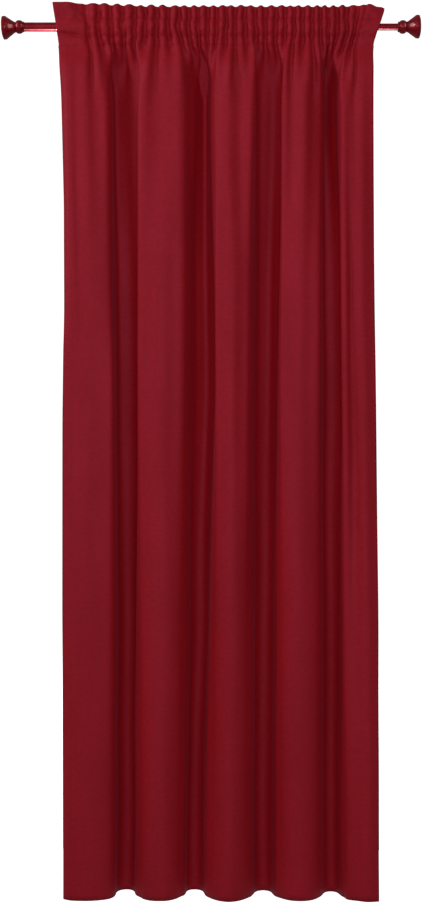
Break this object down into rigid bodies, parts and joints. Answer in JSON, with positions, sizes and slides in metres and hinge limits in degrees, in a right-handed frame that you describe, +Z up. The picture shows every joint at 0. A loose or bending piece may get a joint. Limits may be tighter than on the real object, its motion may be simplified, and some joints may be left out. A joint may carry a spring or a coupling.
{
  "type": "curtain panel on a telescopic rod",
  "caption": "Gathered velvet room curtain panel with pencil-pleated heading, hung on a telescopic lacquered rod with trumpet finials; it slides and draws aside.",
  "frame": {"origin": "on the rod's axis, at the middle of the bare stub where the left-hand bracket holds the outer tube", "axes": "+X along the rod towards its inner tube, -Y towards the room, +Z up"},
  "size_m": [1.1738, 0.1035, 2.5],
  "materials": {
    "velvet": "wine-red cut velvet, soft sheen along the folds",
    "tape_weave": "woven heading tape, matt",
    "cord_yarn": "braided polyester cord, off-white",
    "red_lacquer": "glossy red lacquer on steel",
    "nylon": "moulded nylon, matt",
    "steel": "zinc-plated steel screw"
  },
  "bodies": {
    "rod": {"outer_tube": "red_lacquer", "mouth_bush": "nylon"},
    "rod_extension": {"inner_tube": "red_lacquer", "glide_sleeve": "nylon"},
    "finial_left": {"finial_left_ring": "red_lacquer", "finial_left_bead": "red_lacquer", "finial_left_trumpet": "red_lacquer", "finial_left_cap": "red_lacquer", "finial_left_spigot": "nylon", "finial_left_screw": "steel"},
    "finial_right": {"finial_right_ring": "red_lacquer", "finial_right_bead": "red_lacquer", "finial_right_trumpet": "red_lacquer", "finial_right_cap": "red_lacquer", "finial_right_spigot": "nylon", "finial_right_screw": "steel"},
    "panel": {"panel_cloth": "velvet", "heading_turning": "velvet", "heading_tape": "tape_weave", "bottom_hem": "velvet", "draw_cord_upper": "cord_yarn", "draw_cord_middle": "cord_yarn", "draw_cord_lower": "cord_yarn", "side_hem_left": "velvet", "cord_knot_upper_left": "cord_yarn", "cord_knot_middle_left": "cord_yarn", "cord_knot_lower_left": "cord_yarn"},
    "leading_edge": {"side_hem_right": "velvet", "cord_knot_upper_right": "cord_yarn", "cord_knot_middle_right": "cord_yarn", "cord_knot_lower_right": "cord_yarn"}
  },
  "joints": [
    {"name": "panel_slide", "type": "slide", "parent": "rod", "child": "panel", "axis": [1, 0, 0], "range_m": [-0.07, 0.02]},
    {"name": "draw_aside", "type": "slide", "parent": "panel", "child": "leading_edge", "axis": [1, 0, 0], "range_m": [-0.56, 0], "deforming": ["panel_cloth", "heading_turning", "heading_tape", "bottom_hem", "draw_cord_upper", "draw_cord_middle", "draw_cord_lower"]},
    {"name": "rod_telescope", "type": "slide", "parent": "rod", "child": "rod_extension", "axis": [1, 0, 0], "range_m": [-0.01, 0.17]},
    {"name": "finial_left_pull", "type": "slide", "parent": "rod", "child": "finial_left", "axis": [-1, 0, 0], "range_m": [0, 0.022]},
    {"name": "finial_right_pull", "type": "slide", "parent": "rod_extension", "child": "finial_right", "axis": [1, 0, 0], "range_m": [0, 0.022]}
  ]
}
